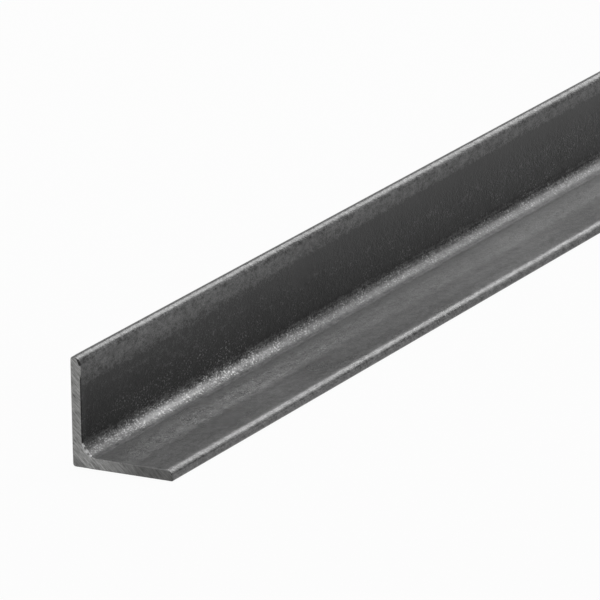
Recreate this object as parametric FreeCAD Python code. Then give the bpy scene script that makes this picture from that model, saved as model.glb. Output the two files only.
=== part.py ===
import FreeCAD
import Part
import math
import os

# Equal-leg steel angle, hot rolled in one piece and sawn to a stock length.
# It lies as it is stored: one leg flat on the floor, the other upright.
# The origin is on the floor, in the middle of the flat leg's width and of the
# bar's length. +X runs from the heel to the flat leg's toe, +Y along the bar.

# The rolled section, in millimetres.
LEG = 40.0
THICKNESS = 4.0
ROOT_RADIUS = 6.0
TOE_RADIUS = 3.0
TOE_EDGE_RADIUS = 0.8
HEEL_RADIUS = 1.0

# The cut bar.
LENGTH = 1000.0
SAWN_EDGE_BREAK = 0.25


def section_corners():
    """The sharp corners of the L, anticlockwise from the heel, each with its radius."""
    heel = -LEG / 2
    toe = LEG / 2
    inside = heel + THICKNESS
    # A thin leg's toe has room only for what its outer edge leaves.
    toe_radius = min(TOE_RADIUS, THICKNESS - TOE_EDGE_RADIUS)
    return [
        ((heel, 0.0), HEEL_RADIUS),
        ((toe, 0.0), TOE_EDGE_RADIUS),
        ((toe, THICKNESS), toe_radius),
        ((inside, THICKNESS), ROOT_RADIUS),
        ((inside, LEG), toe_radius),
        ((heel, LEG), TOE_EDGE_RADIUS),
    ]


def rounded_corner(before, corner, after, radius):
    """Start, middle and end of the arc that rounds a corner, tangent to both sides."""
    to_before = (before - corner).normalize()
    to_after = (after - corner).normalize()
    half_angle = to_before.getAngle(to_after) / 2
    setback = radius / math.tan(half_angle)
    depth = radius / math.sin(half_angle) - radius
    middle = corner + (to_before + to_after).normalize() * depth
    return corner + to_before * setback, middle, corner + to_after * setback


def section_outline():
    """The closed outline at the front end: straight faces joined by tangent arcs."""
    corners = section_corners()
    points = [FreeCAD.Vector(across, -LENGTH / 2, up) for (across, up), radius in corners]
    radii = [radius for place, radius in corners]
    arcs = []
    for i, point in enumerate(points):
        before = points[i - 1]
        after = points[(i + 1) % len(points)]
        arcs.append(rounded_corner(before, point, after, radii[i]))
    edges = []
    for i, (start, middle, end) in enumerate(arcs):
        edges.append(Part.Arc(start, middle, end).toShape())
        next_start = arcs[(i + 1) % len(arcs)][0]
        # Two rounds that fill a toe between them meet with no straight face left.
        if end.distanceToPoint(next_start) > Part.Precision.confusion():
            edges.append(Part.LineSegment(end, next_start).toShape())
    return Part.Wire(edges)


def rolled_bar():
    """The section run along the whole length, its ends cut square."""
    face = Part.Face(section_outline())
    return face.extrude(FreeCAD.Vector(0, LENGTH, 0))


def sawn_edges(bar):
    """The edges round the two sawn ends. Every other edge is centred at mid-length."""
    return [edge for edge in bar.Edges if abs(edge.CenterOfMass.y) > LENGTH / 4]


def angle_bar():
    """The finished bar, with the sharp arris taken off round both sawn ends."""
    bar = rolled_bar()
    return bar.makeChamfer(SAWN_EDGE_BREAK, sawn_edges(bar)).Solids[0]


def export(shape, node):
    """One STEP file for a node, and its volume for the record."""
    os.makedirs("parts", exist_ok=True)
    shape.exportStep("parts/" + node + ".step")
    print(node, "valid:", shape.isValid(), "volume in mm3:", round(shape.Volume, 1))


export(angle_bar(), "angle_bar")
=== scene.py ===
import math

import bmesh
import bpy
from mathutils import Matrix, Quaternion, Vector


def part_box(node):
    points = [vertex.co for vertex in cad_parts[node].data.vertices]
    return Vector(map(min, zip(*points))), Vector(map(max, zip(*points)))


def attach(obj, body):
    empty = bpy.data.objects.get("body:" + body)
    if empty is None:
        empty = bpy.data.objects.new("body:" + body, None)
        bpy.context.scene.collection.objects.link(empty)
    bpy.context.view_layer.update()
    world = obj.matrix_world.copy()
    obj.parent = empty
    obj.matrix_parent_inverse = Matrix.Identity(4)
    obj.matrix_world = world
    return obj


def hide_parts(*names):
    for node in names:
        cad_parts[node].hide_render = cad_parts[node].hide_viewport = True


# A metre of hot-rolled steel angle, sawn at both ends, on a pale table.
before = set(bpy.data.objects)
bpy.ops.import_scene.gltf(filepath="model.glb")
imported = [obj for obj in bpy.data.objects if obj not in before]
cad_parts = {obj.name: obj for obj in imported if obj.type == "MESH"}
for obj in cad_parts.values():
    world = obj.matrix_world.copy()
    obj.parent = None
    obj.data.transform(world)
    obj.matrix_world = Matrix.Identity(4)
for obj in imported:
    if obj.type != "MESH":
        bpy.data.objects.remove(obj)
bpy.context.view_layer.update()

MM = 0.001

# Two coordinates nearer than this are the same place.
SAME_PLACE = 0.01 * MM

# A face looks one way where this much of its normal does.
FACING = 0.9

# The rolled section. Leg and length come from the frame, the rest are its other sizes.
bar_low, bar_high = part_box("angle_bar")
LEG = bar_high.z - bar_low.z
LENGTH = bar_high.y - bar_low.y
HEEL_X = bar_low.x
TOE_X = bar_high.x
FRONT_Y = bar_low.y
THICKNESS = 4.0 * MM
ROOT_RADIUS = 6.0 * MM
TOE_RADIUS = 3.0 * MM
TOE_EDGE_RADIUS = 0.8 * MM
HEEL_RADIUS = 1.0 * MM
INSIDE_X = HEEL_X + THICKNESS

# Segments of each round, so that none shows a flat at the photograph's scale.
ROOT_SEGMENTS = 24
TOE_SEGMENTS = 10
EDGE_SEGMENTS = 5

# Faces that meet at less than this are shaded as one round, or lie in one plane.
SMOOTH_ANGLE = math.radians(35)
FLAT_ANGLE = math.radians(1)

# The saw leaves a sharp arris that handling has just taken off.
ARRIS = 0.25 * MM

# The blade comes out at the heel, where the last of the steel tears off below the cut.
TEAR_HEIGHT = 4.6 * MM
TEAR_WIDTH = 6.6 * MM
TEAR_DEPTH = 0.35 * MM

# The burr that the saw throws up along the edge of the root, ragged from point to point:
# how far it stands out, its foot along the bar, and how far out and up its root it runs.
BURR = 0.6 * MM
BURR_RAGGED = 0.5 * MM
BURR_SEED = 3
BURR_FOOT = 0.9 * MM
BURR_OUT = 0.46 * ROOT_RADIUS
BURR_UP = 0.77 * ROOT_RADIUS

# The steel of the burr shows this far out. From there a torn, dull edge runs on to its end.
BURR_SHOWS_OUT = 0.55 * ROOT_RADIUS
TORN_EDGE_END_X = 10.5 * MM

# A bit of burr on the upright's inner edge: its size, its height, and how far it shows.
BURR_BIT = 0.15 * MM
BURR_BIT_Z = 35.0 * MM
BURR_BIT_REACH = 1.0 * MM
BURR_BIT_SHOWS = 1.5 * MM

# Where the bar was knocked at the upright's toe, and how the nick is turned.
NICK_X = -17.0 * MM
NICK_Z = 38.3 * MM
NICK_HEIGHT = 2.6 * MM
NICK_DEPTH = 0.8 * MM
NICK_TURN = math.radians(-37)
NICK_TILT = math.radians(22)

# How far the upright's outer corner is rubbed round at the near end, and how round.
RUBBED = 3.0 * MM
RUBBED_INWARDS = 0.4 * RUBBED
RUBBED_STRENGTH = 0.5
RUBBED_TIMES = 6

# How much the rolled faces and edges waver, and how long the waves are.
WAVES = 0.22 * MM
WAVE_LENGTH = 28.0 * MM
WAVE_DETAIL = 2

# The heel's outer faces and what lies this near to an end or outer edge stay true.
TRUE_EDGE = 0.3 * MM

# Spacing of the cuts that let the rolled faces and edges waver. The wide faces are cut
# lengthwise, and the bar is cut across into long pieces first, and then into short ones.
WIDE_FACE = 10.0 * MM
STEP_ACROSS = 2.9 * MM
STEP_ALONG = 2.0 * MM
LONG_PIECES = 50

# The places of the bare steels among the bar's materials, after the mill scale.
SAWN_STEEL = 1
TORN_STEEL = 2
BURR_STEEL_AND_GLINT = 3


def is_near(value, place):
    """True where a coordinate is at a place."""
    return abs(value - place) < SAME_PLACE


def deselect_all():
    bpy.ops.object.select_all(action="DESELECT")


def edit(piece):
    """Opens one piece for editing, with nothing in it selected."""
    deselect_all()
    bpy.context.view_layer.objects.active = piece
    piece.select_set(True)
    bpy.ops.object.mode_set(mode="EDIT")
    bpy.ops.mesh.select_mode(type="EDGE")
    bpy.ops.mesh.select_all(action="DESELECT")


def close_edit():
    bpy.ops.object.mode_set(mode="OBJECT")


def select_edges(piece, wanted):
    """Selects the edges whose two ends are wanted, and nothing else."""
    bpy.ops.mesh.select_mode(type="EDGE")
    bpy.ops.mesh.select_all(action="DESELECT")
    mesh = bmesh.from_edit_mesh(piece.data)
    for edge in mesh.edges:
        if wanted(edge.verts[0].co, edge.verts[1].co):
            edge.select_set(True)
    bmesh.update_edit_mesh(piece.data)


def select_faces(piece, wanted):
    """Selects the faces whose middle and normal are wanted, and nothing else."""
    bpy.ops.mesh.select_mode(type="FACE")
    bpy.ops.mesh.select_all(action="DESELECT")
    mesh = bmesh.from_edit_mesh(piece.data)
    for face in mesh.faces:
        if wanted(face.calc_center_median(), face.normal):
            face.select_set(True)
    bmesh.update_edit_mesh(piece.data)


def select_points(piece, wanted):
    """Selects the points whose place is wanted, and nothing else."""
    bpy.ops.mesh.select_mode(type="VERT")
    bpy.ops.mesh.select_all(action="DESELECT")
    mesh = bmesh.from_edit_mesh(piece.data)
    for point in mesh.verts:
        if wanted(point.co):
            point.select_set(True)
    mesh.select_flush_mode()
    bmesh.update_edit_mesh(piece.data)


def runs_along(a, b, x, z):
    """True for the lengthwise edge that stands at x and z."""
    return is_near(a.x, x) and is_near(b.x, x) and is_near(a.z, z) and is_near(b.z, z)


def l_block():
    """A flat slab for one leg, with the other drawn up from a strip along its heel."""
    deselect_all()
    bpy.ops.mesh.primitive_cube_add(
        size=1,
        location=(0, 0, THICKNESS / 2),
        scale=(LEG, LENGTH, THICKNESS),
    )
    bar = bpy.context.active_object
    bar.name = "rolled_angle"
    bpy.ops.object.transform_apply(location=True, rotation=True, scale=True)
    edit(bar)
    bpy.ops.mesh.select_all(action="SELECT")
    bpy.ops.mesh.bisect(plane_co=(INSIDE_X, 0, 0), plane_no=(1, 0, 0))
    select_faces(bar, lambda middle, normal: normal.z > FACING and middle.x < INSIDE_X)
    bpy.ops.mesh.extrude_region_move(TRANSFORM_OT_translate={"value": (0, 0, LEG - THICKNESS)})
    bpy.ops.mesh.select_all(action="SELECT")
    bpy.ops.mesh.dissolve_limited(angle_limit=FLAT_ANGLE)
    close_edit()
    return bar


def round_long_edges(bar):
    """Rounds the six lengthwise edges: the root, the two toes' rounds and the outer edges."""
    edit(bar)
    rounds = (
        (INSIDE_X, THICKNESS, ROOT_RADIUS, ROOT_SEGMENTS),
        (TOE_X, THICKNESS, TOE_RADIUS, TOE_SEGMENTS),
        (INSIDE_X, LEG, TOE_RADIUS, TOE_SEGMENTS),
        (TOE_X, 0, TOE_EDGE_RADIUS, EDGE_SEGMENTS),
        (HEEL_X, LEG, TOE_EDGE_RADIUS, EDGE_SEGMENTS),
        (HEEL_X, 0, HEEL_RADIUS, EDGE_SEGMENTS),
    )
    for x, z, radius, segments in rounds:
        select_edges(bar, lambda a, b: runs_along(a, b, x, z))
        bpy.ops.mesh.bevel(
            offset=radius,
            offset_type="OFFSET",
            segments=segments,
            profile=0.5,
            affect="EDGES",
            clamp_overlap=False,
        )
    close_edit()


def cut_away(bar, block):
    """Takes a block's shape out of the bar, and the block away."""
    cut = bar.modifiers.new("cut_away", "BOOLEAN")
    cut.operation = "DIFFERENCE"
    cut.solver = "EXACT"
    cut.object = block
    bpy.context.view_layer.objects.active = bar
    bpy.ops.object.modifier_apply(modifier=cut.name)
    deselect_all()
    block.select_set(True)
    bpy.ops.object.delete()


def tear_heel(bar):
    """Cuts the torn corner in at the heel of the near end, with a turned block."""
    deselect_all()
    bpy.ops.mesh.primitive_cube_add(size=1)
    block = bpy.context.active_object
    bpy.ops.transform.resize(value=(3 * TEAR_WIDTH, 2 * TEAR_DEPTH, 2 * TEAR_HEIGHT))
    bpy.ops.object.transform_apply(location=False, rotation=False, scale=True)
    slope = math.atan2(TEAR_HEIGHT, TEAR_WIDTH)
    bpy.ops.transform.rotate(value=-slope, orient_axis="Y", center_override=(0, 0, 0))
    bpy.ops.object.transform_apply(location=False, rotation=True, scale=False)
    middle = Vector((HEEL_X + TEAR_WIDTH / 2, FRONT_Y, TEAR_HEIGHT / 2))
    below = Vector((-math.sin(slope), 0, -math.cos(slope))) * TEAR_HEIGHT
    bpy.ops.transform.translate(value=middle + below)
    cut_away(bar, block)


def break_sawn_edges(bar):
    """Takes the sharp arris off round both sawn ends."""
    edit(bar)
    half = LENGTH / 2
    slope = Vector((TEAR_HEIGHT, TEAR_WIDTH)).normalized()

    def on_rim(a, b):
        if not (is_near(abs(a.y), half) and is_near(a.y, b.y)):
            return False
        # The step down to the torn corner stays as the blade left it.
        heights = [(p.x - HEEL_X) * slope.x + (p.z - TEAR_HEIGHT) * slope.y for p in (a, b)]
        return a.y > 0 or not all(is_near(h, 0) for h in heights)

    select_edges(bar, on_rim)
    bpy.ops.mesh.bevel(offset=ARRIS, offset_type="OFFSET", segments=1, affect="EDGES")
    close_edit()


def cut_finely(bar):
    """Cuts the wide faces lengthwise and the whole bar across, to shape it in small steps."""
    edit(bar)
    select_edges(bar, lambda a, b: is_near(a.y, b.y) and WIDE_FACE < (a - b).length <= LEG)
    bpy.ops.mesh.subdivide(number_cuts=round(LEG / STEP_ACROSS) - 1)
    half = LENGTH / 2
    select_edges(bar, lambda a, b: abs(a.y - b.y) > half)
    bpy.ops.mesh.subdivide(number_cuts=LONG_PIECES - 1)
    long_piece = LENGTH / LONG_PIECES
    select_edges(bar, lambda a, b: abs(a.y - b.y) > long_piece / 2)
    bpy.ops.mesh.subdivide(number_cuts=round(long_piece / STEP_ALONG) - 1)
    bpy.ops.mesh.select_all(action="SELECT")
    bpy.ops.mesh.bisect(plane_co=(0, FRONT_Y + BURR_FOOT, 0), plane_no=(0, 1, 0))
    close_edit()


def raise_burr(bar):
    """Draws the root's near edge out into a ragged burr, and a bit on the upright."""
    edit(bar)
    rim = FRONT_Y + ARRIS
    root_middle = Vector((INSIDE_X + ROOT_RADIUS, rim, THICKNESS + ROOT_RADIUS))

    def in_root(p):
        in_x = INSIDE_X - SAME_PLACE < p.x < INSIDE_X + BURR_OUT
        in_z = THICKNESS < p.z < THICKNESS + BURR_UP
        return is_near(p.y, rim) and in_x and in_z

    def in_bit(p):
        on_upright = is_near(p.x, INSIDE_X) and abs(p.z - BURR_BIT_Z) < BURR_BIT_REACH
        return is_near(p.y, rim) and on_upright

    drawn_out = 1 - BURR / ROOT_RADIUS
    select_points(bar, in_root)
    bpy.ops.transform.resize(value=(drawn_out, 1, drawn_out), center_override=root_middle)
    bpy.ops.transform.vertex_random(offset=BURR_RAGGED, seed=BURR_SEED, wait_for_input=False)
    bpy.ops.transform.resize(value=(1, 0, 1), center_override=root_middle)
    select_points(bar, in_bit)
    bpy.ops.transform.translate(value=(BURR_BIT, 0, BURR_BIT))
    close_edit()


def rub_corner(bar):
    """Rubs the upright's outer corner round at the near end."""
    edit(bar)
    corner = Vector((HEEL_X, FRONT_Y, LEG))
    inner = HEEL_X + RUBBED_INWARDS
    select_points(bar, lambda p: (p - corner).length < RUBBED and p.x < inner)
    bpy.ops.mesh.vertices_smooth(factor=RUBBED_STRENGTH, repeat=RUBBED_TIMES, yaxis=False)
    close_edit()


def knock_toe(bar):
    """Cuts the nick in at the upright's toe at the near end, with a turned block."""
    deselect_all()
    bpy.ops.mesh.primitive_cube_add(size=1)
    block = bpy.context.active_object
    bpy.ops.transform.resize(value=(2 * NICK_HEIGHT, NICK_DEPTH * 2, NICK_HEIGHT))
    bpy.ops.object.transform_apply(location=False, rotation=False, scale=True)
    bpy.ops.transform.translate(value=(0, -NICK_DEPTH, 0))
    bpy.ops.transform.rotate(value=NICK_TURN, orient_axis="Z", center_override=(0, 0, 0))
    bpy.ops.transform.rotate(value=NICK_TILT, orient_axis="Y", center_override=(0, 0, 0))
    bpy.ops.transform.translate(value=(NICK_X, FRONT_Y, NICK_Z))
    cut_away(bar, block)


def waver(bar):
    """Lets the inner faces and the toes' rounds waver, always inwards from the section."""
    edit(bar)
    half = LENGTH / 2 - BURR_FOOT - TRUE_EDGE

    def free(p):
        in_x = HEEL_X + TRUE_EDGE < p.x < TOE_X - TRUE_EDGE
        in_z = TRUE_EDGE < p.z < LEG - TRUE_EDGE
        return in_x and in_z and abs(p.y) < half

    select_points(bar, free)
    bpy.ops.object.vertex_group_add()
    group = bar.vertex_groups.active
    group.name = "rolled_inside"
    bpy.context.scene.tool_settings.vertex_group_weight = 1.0
    bpy.ops.object.vertex_group_assign()
    close_edit()
    clouds = bpy.data.textures.new("roll_waves", "CLOUDS")
    clouds.noise_scale = WAVE_LENGTH
    clouds.noise_depth = WAVE_DETAIL
    waves = bar.modifiers.new("roll_waves", "DISPLACE")
    waves.texture = clouds
    waves.texture_coords = "LOCAL"
    waves.vertex_group = "rolled_inside"
    waves.mid_level = 1.0
    waves.strength = WAVES
    bpy.context.view_layer.objects.active = bar
    bpy.ops.object.modifier_apply(modifier=waves.name)


def rolled_angle():
    """The bar as it lies in the shop: rolled, sawn, torn, burred, rubbed and knocked."""
    bar = l_block()
    round_long_edges(bar)
    tear_heel(bar)
    break_sawn_edges(bar)
    cut_finely(bar)
    waver(bar)
    raise_burr(bar)
    rub_corner(bar)
    knock_toe(bar)
    deselect_all()
    bar.select_set(True)
    bpy.context.view_layer.objects.active = bar
    bpy.ops.object.shade_smooth_by_angle(angle=SMOOTH_ANGLE)
    return bar


def give_material(bar, index, wanted):
    """Gives the wanted faces one of the bar's materials."""
    edit(bar)
    select_faces(bar, wanted)
    bar.active_material_index = index
    bpy.ops.object.material_slot_assign()
    close_edit()


def saw_faces(bar):
    """Shows bare steel where the saw, the tear and the burr left it.

    Both ends and the upright's bit of burr are sawn steel, the burr in the root is burr
    steel with a painted glint, and the heel's torn corner and the flat leg's inner edge are
    torn steel.
    """
    half = LENGTH / 2
    burr_end_x = INSIDE_X + BURR_SHOWS_OUT

    def sawn(middle, normal):
        return is_near(abs(middle.y), half) and abs(normal.y) > FACING

    def on_arris(middle):
        return 0.3 * ARRIS < middle.y - FRONT_Y < 0.7 * ARRIS

    def burr(middle, normal):
        on_edge = 0.3 * ARRIS < middle.y - FRONT_Y < 0.8 * BURR_FOOT
        in_x = INSIDE_X - ARRIS < middle.x < burr_end_x
        return on_edge and in_x and THICKNESS < middle.z < THICKNESS + BURR_UP

    def bit(middle, normal):
        in_z = abs(middle.z - BURR_BIT_Z) < BURR_BIT_SHOWS
        return on_arris(middle) and in_z and middle.x > HEEL_X + ARRIS

    def torn(middle, normal):
        return is_near(middle.y, FRONT_Y + TEAR_DEPTH) and normal.y < -FACING

    def dull_edge(middle, normal):
        in_x = burr_end_x < middle.x < TORN_EDGE_END_X
        return on_arris(middle) and in_x and middle.z > ARRIS

    give_material(bar, SAWN_STEEL, sawn)
    give_material(bar, TORN_STEEL, dull_edge)
    give_material(bar, SAWN_STEEL, bit)
    give_material(bar, BURR_STEEL_AND_GLINT, burr)
    give_material(bar, TORN_STEEL, torn)


def linear(hex_colour):
    """An sRGB hex colour as the linear colour that a shader's socket takes."""
    parts = [int(hex_colour[i:i + 2], 16) / 255 for i in (1, 3, 5)]
    return [c / 12.92 if c <= 0.04045 else ((c + 0.055) / 1.055) ** 2.4 for c in parts] + [1]


def add(owner, kind, settings, inputs):
    """One node with its settings, and its inputs: each a value, or a node or socket to link."""
    node = owner.node_tree.nodes.new(kind)
    for name, value in settings.items():
        setattr(node, name, value)
    for name, source in inputs.items():
        if isinstance(source, bpy.types.Node):
            source = source.outputs[0]
        if isinstance(source, bpy.types.NodeSocket):
            owner.node_tree.links.new(source, node.inputs[name])
        else:
            node.inputs[name].default_value = source
    return node


def where(material, *limits):
    """A mask that is full where all its limits are.

    A limit is another mask, or a ramp: an axis, and where on it in millimetres the mask is
    nothing and where it is full.
    """
    mask = None
    for limit in limits:
        if isinstance(limit, tuple):
            axis, start, full = limit
            limit = add(material, "ShaderNodeMapRange", {"interpolation_type": "SMOOTHSTEP"}, {
                "Value": axis,
                "From Min": start * MM,
                "From Max": full * MM,
            })
        if mask is None:
            mask = limit
        else:
            mask = add(material, "ShaderNodeMath", {"operation": "MULTIPLY"}, {
                0: mask,
                1: limit,
            })
    return mask


def total(material, start, *parts):
    """A number, plus each mask or pattern times its share. A share may be a pattern too."""
    result = start
    for mask, share in parts:
        result = add(material, "ShaderNodeMath", {"operation": "MULTIPLY_ADD"}, {
            0: mask,
            1: share,
            2: result,
        })
    return result


def blank_material(name):
    material = bpy.data.materials.new(name)
    material.use_nodes = True
    material.node_tree.nodes.clear()
    return material


def scale_patches(material, place):
    """Wide patches where the scale is thicker or thinner."""
    return add(material, "ShaderNodeTexNoise", {}, {
        "Vector": place,
        "Scale": 1 / (60.0 * MM),
        "Detail": 2.0,
    })


def roll_streaks(material, place):
    """Streaks drawn out along the bar by the rolls, 3 mm apart."""
    drawn_out = add(material, "ShaderNodeVectorMath", {"operation": "MULTIPLY"}, {
        0: place,
        1: (1.0, 0.02, 1.0),
    })
    return add(material, "ShaderNodeTexNoise", {}, {
        "Vector": drawn_out,
        "Scale": 1 / (3.0 * MM),
        "Detail": 1.0,
    })


def scale_grains(material, rolled_long):
    """Grains of the scale, from 2.2 mm down.

    The finest real grains, a tenth of a millimetre, are too small to show and are left out.
    """
    return add(material, "ShaderNodeTexNoise", {}, {
        "Vector": rolled_long,
        "Scale": 1 / (2.2 * MM),
        "Detail": 3.2,
        "Roughness": 1.0,
    })


def broken_flecks(material, rolled_long):
    """Flecks where a grain has broken off and the steel shows, in clumps 4.5 mm wide.

    A real fleck is a few tenths of a millimetre. These are 0.6 mm, to show in the picture.
    """
    fleck_noise = add(material, "ShaderNodeTexNoise", {}, {
        "Vector": rolled_long,
        "Scale": 1 / (0.62 * MM),
        "Detail": 1.0,
    })
    clump_noise = add(material, "ShaderNodeTexNoise", {}, {
        "Vector": rolled_long,
        "Scale": 1 / (4.5 * MM),
        "Detail": 1.0,
    })
    flecks = add(material, "ShaderNodeMapRange", {}, {
        "Value": fleck_noise,
        "From Min": 0.52,
        "From Max": 0.72,
    })
    clumps = add(material, "ShaderNodeMapRange", {}, {
        "Value": clump_noise,
        "From Min": 0.3,
        "From Max": 0.7,
        "To Min": 0.3,
        "To Max": 1.7,
    })
    return where(material, flecks, clumps)


def mill_scale():
    """Grey oxide that grew on the hot steel between the last rolls and the cooling bed.

    It is smooth and dark where the rolls pressed it flat, and broken into bright grains in
    the root, where they press it least. The toes are rubbed bright by handling. Light and
    shade are painted into its colour too: painted shade on the upright and along the bar,
    and painted highlights and shade that shape the bright lines of the root and the toes.
    """
    material = blank_material("hot_rolled_mill_scale")
    place = add(material, "ShaderNodeTexCoord", {}, {}).outputs["Object"]
    x, y, z = add(material, "ShaderNodeSeparateXYZ", {}, {"Vector": place}).outputs

    # Places across the section: the root and its parts.
    hollow = where(material, (x, -10.0, -12.0), (z, 11.0, 8.5))
    root = where(material, (x, -11.8, -13.6), (z, 9.6, 6.6))
    root_core = where(material, (x, -13.2, -14.2), (x, -15.6, -14.8))
    root_low = where(material, (x, -14.0, -13.5), (x, -12.2, -12.7))
    root_top = where(material, (x, -14.4, -15.2), (z, 9.0, 8.0))
    root_foot = where(material, (x, -13.3, -11.9), (x, -8.5, -11.2))

    # The upright's inner face, from the root up to its toe.
    upright = where(material, (z, 5.5, 11.0))
    upright_foot = where(material, (z, 8.6, 9.5), (z, 14.0, 12.0))
    upright_low = where(material, (z, 8.0, 12.0), (z, 35.5, 28.0))
    upright_flecked = where(material, (z, 8.0, 12.0), (z, 22.0, 14.0))
    upright_middle = where(material, (z, 14.0, 19.0), (z, 31.0, 27.0))
    upright_band = where(material, (z, 23.0, 28.0), (z, 34.0, 31.5))
    upright_top = where(material, (z, 32.0, 35.0))
    toe_under = where(material, (z, 36.8, 37.8), (z, 38.75, 38.5))
    toe_foot = where(material, (z, 38.55, 38.75), (z, 39.4, 39.1))
    toe_top = where(material, (z, 39.0, 39.7))
    toe_back = where(material, (x, -18.2, -18.7), (z, 39.5, 39.9))
    upright_toe = where(material, (z, 36.3, 38.5), (x, -19.6, -18.9))

    # The flat leg's top, from the root out to its toe.
    flat_strip = where(material, (x, -9.0, -5.0), (x, 5.0, 0.0))
    flat_middle = where(material, (x, -11.0, -8.0), (x, 6.0, 1.0))
    flat_outside = where(material, (x, 9.0, 13.0), (x, 17.5, 16.0))
    flat_toe = where(material, (x, 16.0, 18.0))
    flat_shoulder = where(material, (x, 16.8, 17.6), (x, 18.4, 17.9))
    flat_crest = where(material, (x, 18.0, 18.3), (x, 19.2, 18.7))
    flat_lip = where(material, (x, 18.8, 19.1), (x, 19.7, 19.4))
    flat_edge = where(material, (x, 19.1, 19.5))
    under_edge = where(material, (z, 0.5, 0.2))
    toes = add(material, "ShaderNodeMath", {"operation": "MAXIMUM"}, {
        0: upright_toe,
        1: flat_toe,
    })
    upright_or_toes = add(material, "ShaderNodeMath", {"operation": "MAXIMUM"}, {
        0: upright,
        1: toes,
    })

    # Places along the bar.
    far_end = where(material, (y, -480.0, -120.0))
    near_third = where(material, (y, -240.0, -340.0))
    past_near_third = where(material, (y, -330.0, -280.0))
    broken = where(material, (y, -515.0, -440.0), (y, -310.0, -390.0))
    most_broken = where(material, (y, -445.0, -415.0), (y, -350.0, -390.0))
    # rubbed: a painted highlight, a band across the whole bar painted lighter.
    rubbed = where(material, (y, -472.0, -452.0), (y, -405.0, -440.0))

    # Single marks: a dark smear low on the upright, and the toe's round darker beside the nick.
    smear = where(
        material,
        (y, -420.0, -370.0),
        (y, -285.0, -300.0),
        (z, 9.0, 11.0),
        (z, 24.0, 15.0),
    )
    knocked = where(material, (y, -493.0, -498.0), (z, 36.5, 37.3), (z, 39.5, 38.9))

    # The rolls drew the grains out to nearly twice their width along the bar.
    rolled_long = add(material, "ShaderNodeVectorMath", {"operation": "MULTIPLY"}, {
        0: place,
        1: (1.0, 0.55, 1.0),
    })
    patches = scale_patches(material, place)
    streaks = roll_streaks(material, place)
    grains = scale_grains(material, rolled_long)
    flecks = broken_flecks(material, rolled_long)

    # How strongly the grains show, and how much of the steel shows in flecks.
    # In the root, the grains' stronger contrast and extra flecks are partly painted glints.
    contrast = total(
        material, 0.66,
        (root, 0.05),
        (where(material, root, broken), 0.3),
        (where(material, root, most_broken), 0.45),
        (flat_strip, 0.4),
        (where(material, flat_strip, broken), 0.55),
        (upright_middle, total(material, -0.15, (far_end, 0.5))),
        (where(material, upright_band, far_end), -0.35),
        (toes, 0.2),
    )
    flecked = total(
        material, 0.02,
        (root, 0.34),
        (flat_strip, 0.08),
        (upright_flecked, 0.2),
        (where(material, upright_flecked, broken), -0.08),
        (where(material, upright_low, far_end), 0.08),
    )
    flecked = where(material, flecked, total(material, 1.0, (broken, 1.5)))

    # How much lighter or darker each place is, from the dark scale, 0, to the bright steel.
    tone = total(
        material, 0.243,
        (grains, contrast),
        (contrast, -0.5),
        (flecks, flecked),
        (patches, 0.07),
        (streaks, 0.09),
        # Root: its broken scale is brighter, and painted highlight and shade shape its bright
        # line.
        (hollow, -0.125),
        (root, 0.19),
        (root_top, -0.13),
        (root_low, -0.04),
        (root_foot, -0.03),
        (root_core, -0.07),
        (where(material, root_core, broken), 0.21),
        (where(material, root_core, most_broken), 0.1),
        (where(material, root_core, rubbed), 0.24),
        (where(material, root, rubbed), 0.06),
        (where(material, root_top, far_end), -0.13),
        # Painted shade: the upright darker than the flat leg, darkest low down where it mirrors
        # the flat leg, and varied along the bar.
        (upright, -0.155),
        (upright_low, -0.18),
        (upright_flecked, -0.085),
        (where(material, upright_foot, past_near_third), 0.02),
        (where(material, upright_band, far_end), -0.19),
        (where(material, upright_top, near_third), -0.04),
        # Painted highlight and shade: strips across the upright's toe that shape its bright
        # line.
        (upright_toe, 0.03),
        (toe_under, -0.03),
        (toe_foot, -0.11),
        (where(material, toe_foot, far_end), 0.07),
        (toe_top, 0.09),
        (toe_back, -0.38),
        (smear, -0.05),
        (knocked, -0.1),
        (flat_strip, 0.01),
        (flat_middle, 0.075),
        (flat_outside, -0.065),
        (where(material, flat_strip, broken), 0.05),
        # Painted highlight: the flat strip lighter in the band across the bar.
        (where(material, flat_strip, rubbed), 0.04),
        # Painted light along the bar: the flat's middle lighter, its outside darker, towards
        # the far end.
        (where(material, flat_middle, far_end), 0.13),
        (where(material, flat_outside, far_end), -0.06),
        # Painted highlight and shade: strips across the flat leg's toe that shape its bright
        # line.
        (flat_shoulder, -0.04),
        (where(material, flat_shoulder, near_third), 0.08),
        (flat_crest, -0.03),
        (where(material, flat_crest, near_third), -0.08),
        (flat_edge, -0.11),
        (where(material, flat_lip, near_third), -0.14),
        # Painted shade: the bottom edges darker, where the bar meets its shadow on the table.
        (under_edge, -0.25),
        # Painted highlight: the whole band across the bar a little lighter.
        (rubbed, 0.02),
        # Painted light along the bar: the flat lighter, the upright and toes darker, towards
        # the far end.
        (far_end, total(material, 0.13, (upright_or_toes, -0.206))),
    )
    # Bright steel alone shows where the tone comes to this.
    brightest = 1.887
    share = add(material, "ShaderNodeMapRange", {}, {"Value": tone, "From Max": brightest})
    colour = add(material, "ShaderNodeMix", {"data_type": "RGBA"}, {
        0: share,
        6: linear("#0c0c0c"),
        7: linear("#ececec"),
    }).outputs[2]
    bumps = add(material, "ShaderNodeBump", {}, {
        "Height": where(material, grains, contrast),
        "Strength": 1.0,
        "Distance": 0.24 * MM,
    })
    roughness = add(material, "ShaderNodeMapRange", {}, {
        "Value": patches,
        "From Min": 0.3,
        "From Max": 0.7,
        "To Min": 0.26,
        "To Max": 0.34,
    })
    surface = add(material, "ShaderNodeBsdfPrincipled", {}, {
        "Base Color": colour,
        "Metallic": 0.6,
        "Roughness": total(material, roughness, (hollow, 0.3)),
        "Normal": bumps,
    })
    add(material, "ShaderNodeOutputMaterial", {}, {"Surface": surface})
    return material


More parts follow.
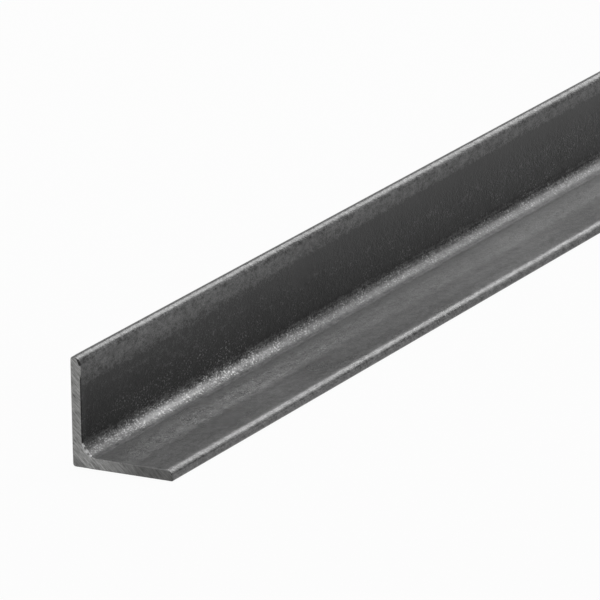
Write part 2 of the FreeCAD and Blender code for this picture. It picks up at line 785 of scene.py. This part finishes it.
def bare_steel(name, dark, light, metallic, roughness, mark_depth):
    """Steel with no scale on it, marked aslant by the saw blade as it went through."""
    material = blank_material(name)
    place = add(material, "ShaderNodeTexCoord", {}, {}).outputs["Object"]
    axes = add(material, "ShaderNodeSeparateXYZ", {}, {"Vector": place}).outputs
    # Saw marks half a millimetre apart, drawn out ten times as long as they are wide.
    across = add(material, "ShaderNodeVectorMath", {"operation": "DOT_PRODUCT"}, {
        0: place,
        1: (0.707, 0.0, 0.707),
    }).outputs["Value"]
    along = add(material, "ShaderNodeVectorMath", {"operation": "DOT_PRODUCT"}, {
        0: place,
        1: (0.07, 0.0, -0.07),
    }).outputs["Value"]
    marks = add(material, "ShaderNodeTexNoise", {}, {
        "Vector": add(material, "ShaderNodeCombineXYZ", {}, {"X": across, "Y": along}),
        "Scale": 1 / (0.55 * MM),
        "Detail": 2.0,
        "Roughness": 0.8,
    })
    # Smears of hot metal, 3 mm wide and less.
    smears = add(material, "ShaderNodeTexNoise", {}, {
        "Vector": place,
        "Scale": 1 / (3.0 * MM),
        "Detail": 3.5,
        "Roughness": 0.9,
    })
    shade = add(material, "ShaderNodeMapRange", {}, {
        "Value": total(material, 0.0, (smears, 0.6), (marks, 1.6)),
        "From Min": 0.6,
        "From Max": 1.55,
    })
    # The blade had dulled the cut by the time it reached the flat leg's toe.
    dulled = add(material, "ShaderNodeMapRange", {}, {
        "Value": axes["X"],
        "From Min": -12.0 * MM,
        "From Max": 8.0 * MM,
        "To Min": 1.0,
        "To Max": 0.32,
    })
    # Painted shade: up the upright the end face is a little darker than low down, where more of
    # the pale table shines in it.
    shaded_higher = add(material, "ShaderNodeMapRange", {}, {
        "Value": axes["Z"],
        "From Min": 7.0 * MM,
        "From Max": 14.0 * MM,
        "To Min": 1.0,
        "To Max": 0.92,
    })
    colour = add(material, "ShaderNodeMix", {"data_type": "RGBA"}, {
        0: where(material, shade, dulled, shaded_higher),
        6: linear(dark),
        7: linear(light),
    }).outputs[2]
    bumps = add(material, "ShaderNodeBump", {}, {
        "Height": marks,
        "Strength": 1.0,
        "Distance": mark_depth,
    })
    surface = add(material, "ShaderNodeBsdfPrincipled", {}, {
        "Base Color": colour,
        "Metallic": metallic,
        "Roughness": roughness,
        "Normal": bumps,
    })
    add(material, "ShaderNodeOutputMaterial", {}, {"Surface": surface})
    return material


def sawn_steel():
    """Sawn steel: bright, with fine straight scratches, where the blade cut it."""
    return bare_steel(
        "sawn_steel",
        dark="#3a3a39",
        light="#b3b3b2",
        metallic=0.85,
        roughness=0.42,
        mark_depth=0.05 * MM,
    )


def torn_steel():
    """Torn steel: dull and rough, where the last of it tore instead of being cut."""
    return bare_steel(
        "torn_steel",
        dark="#4b4b4a",
        light="#9b9b9a",
        metallic=0.85,
        roughness=0.6,
        mark_depth=0.1 * MM,
    )


def burr_steel_and_glint():
    """Burr steel: thin, and torn into bright slivers 1.5 mm wide with grey gaps between."""
    material = blank_material("burr_steel_and_glint")
    place = add(material, "ShaderNodeTexCoord", {}, {}).outputs["Object"]
    slivers = add(material, "ShaderNodeTexNoise", {}, {
        "Vector": place,
        "Scale": 1 / (1.5 * MM),
        "Detail": 1.0,
    })
    shade = add(material, "ShaderNodeMapRange", {}, {
        "Value": slivers,
        "From Min": 0.38,
        "From Max": 0.52,
    })
    # Painted highlight: the slivers go near white, a painted glint of the light they catch.
    colour = add(material, "ShaderNodeMix", {"data_type": "RGBA"}, {
        0: shade,
        6: linear("#747474"),
        7: linear("#ffffff"),
    }).outputs[2]
    bumps = add(material, "ShaderNodeBump", {}, {
        "Height": slivers,
        "Strength": 1.0,
        "Distance": 0.3 * MM,
    })
    surface = add(material, "ShaderNodeBsdfPrincipled", {}, {
        "Base Color": colour,
        "Metallic": 0.1,
        "Roughness": 0.4,
        "Normal": bumps,
    })
    add(material, "ShaderNodeOutputMaterial", {}, {"Surface": surface})
    return material


def background_rays(owner):
    """Full for the rays that show the background: to the camera, in gloss and through glass."""
    rays = add(owner, "ShaderNodeLightPath", {}, {}).outputs
    return total(
        owner, 0.0,
        (rays["Is Camera Ray"], 1.0),
        (rays["Is Glossy Ray"], 1.0),
        (rays["Is Transmission Ray"], 1.0),
    )


def pale_table():
    """A pale, matt table top. The camera and gloss see it lifted to white, its shadow kept."""
    material = blank_material("pale_table")
    # The rest shows the table top itself, and with it the bar's shadow.
    lifted_to_white = 0.95
    mixed = add(material, "ShaderNodeMixShader", {}, {
        0: total(material, 0.0, (background_rays(material), lifted_to_white)),
        1: add(material, "ShaderNodeBsdfDiffuse", {}, {"Color": linear("#c8c8c8")}),
        2: add(material, "ShaderNodeEmission", {}, {
            "Color": linear("#ffffff"),
            "Strength": 1.0,
        }),
    })
    add(material, "ShaderNodeOutputMaterial", {}, {"Surface": mixed})
    return material


# In metres: so wide that it fills the background nearly to the top, from low down too.
TABLE_WIDTH = 120


def floor():
    """The table top that the bar lies on."""
    deselect_all()
    bpy.ops.mesh.primitive_plane_add(size=TABLE_WIDTH, location=(0, 0, 0))
    top = bpy.context.active_object
    top.name = "table_top"
    top.data.materials.append(pale_table())


# The middle of the bar's near half, which the soft boxes look at, in metres.
LAMP_AIM = Vector((0, -0.25, 0.02))


def soft_box(name, direction, distance, size, power):
    """A soft box with its power in watts, so far off in a direction from where it looks."""
    lamp = bpy.data.lights.new(name, "AREA")
    lamp.shape = "RECTANGLE"
    lamp.size, lamp.size_y = size
    lamp.energy = power
    holder = bpy.data.objects.new(name, lamp)
    bpy.context.scene.collection.objects.link(holder)
    towards = Vector(direction).normalized()
    holder.location = LAMP_AIM + towards * distance
    holder.rotation_euler = towards.to_track_quat("Z", "Y").to_euler()
    holder.visible_camera = False


def studio():
    """A grey room with three soft boxes, white where the camera or gloss shows it."""
    world = bpy.data.worlds.new("studio")
    bpy.context.scene.world = world
    world.use_nodes = True
    world.node_tree.nodes.clear()
    mixed = add(world, "ShaderNodeMixShader", {}, {
        0: background_rays(world),
        1: add(world, "ShaderNodeBackground", {}, {
            "Color": linear("#484848"),
            "Strength": 1.0,
        }),
        2: add(world, "ShaderNodeBackground", {}, {
            "Color": linear("#ffffff"),
            "Strength": 1.0,
        }),
    })
    add(world, "ShaderNodeOutputWorld", {}, {"Surface": mixed})
    soft_box(
        "back_soft_box",
        direction=(0.08, 0.84, 0.54),
        distance=3.2,
        size=(1.4, 2.0),
        power=28,
    )
    soft_box(
        "top_soft_box",
        direction=(-0.25, 0.10, 1.0),
        distance=2.0,
        size=(2.0, 2.0),
        power=38,
    )
    soft_box(
        "fill_soft_box",
        direction=(0.50, -0.51, 0.67),
        distance=2.5,
        size=(1.0, 1.0),
        power=5,
    )


# The camera, matched to the photograph: a long lens, above and in front of the sawn end.
CAMERA_AZIMUTH = math.radians(28.68)
CAMERA_ELEVATION = math.radians(16.937)
CAMERA_ROLL = math.radians(-1.024)
CAMERA_DISTANCE = 2768.8 * MM
CAMERA_LENS = 456.2
CAMERA_SENSOR = 36.0
CAMERA_AIM = Vector((INSIDE_X, FRONT_Y + 159.3 * MM, 16.96 * MM))


def camera():
    """The camera that sees the bar as the photograph does."""
    lens = bpy.data.cameras.new("camera")
    lens.lens = CAMERA_LENS
    lens.sensor_width = CAMERA_SENSOR
    holder = bpy.data.objects.new("camera", lens)
    bpy.context.scene.collection.objects.link(holder)
    level = math.cos(CAMERA_ELEVATION)
    back = Vector((
        math.sin(CAMERA_AZIMUTH) * level,
        -math.cos(CAMERA_AZIMUTH) * level,
        math.sin(CAMERA_ELEVATION),
    ))
    holder.location = CAMERA_AIM + back * CAMERA_DISTANCE
    holder.rotation_mode = "QUATERNION"
    holder.rotation_quaternion = back.to_track_quat("Z", "Y")
    holder.rotation_quaternion.rotate(Quaternion(back, CAMERA_ROLL))
    bpy.context.scene.camera = holder


camera()
bar = rolled_angle()
for material in (mill_scale(), sawn_steel(), torn_steel(), burr_steel_and_glint()):
    bar.data.materials.append(material)
saw_faces(bar)
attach(bar, "root")
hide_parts("angle_bar")
floor()
studio()
bpy.context.scene.view_settings.view_transform = "Standard"
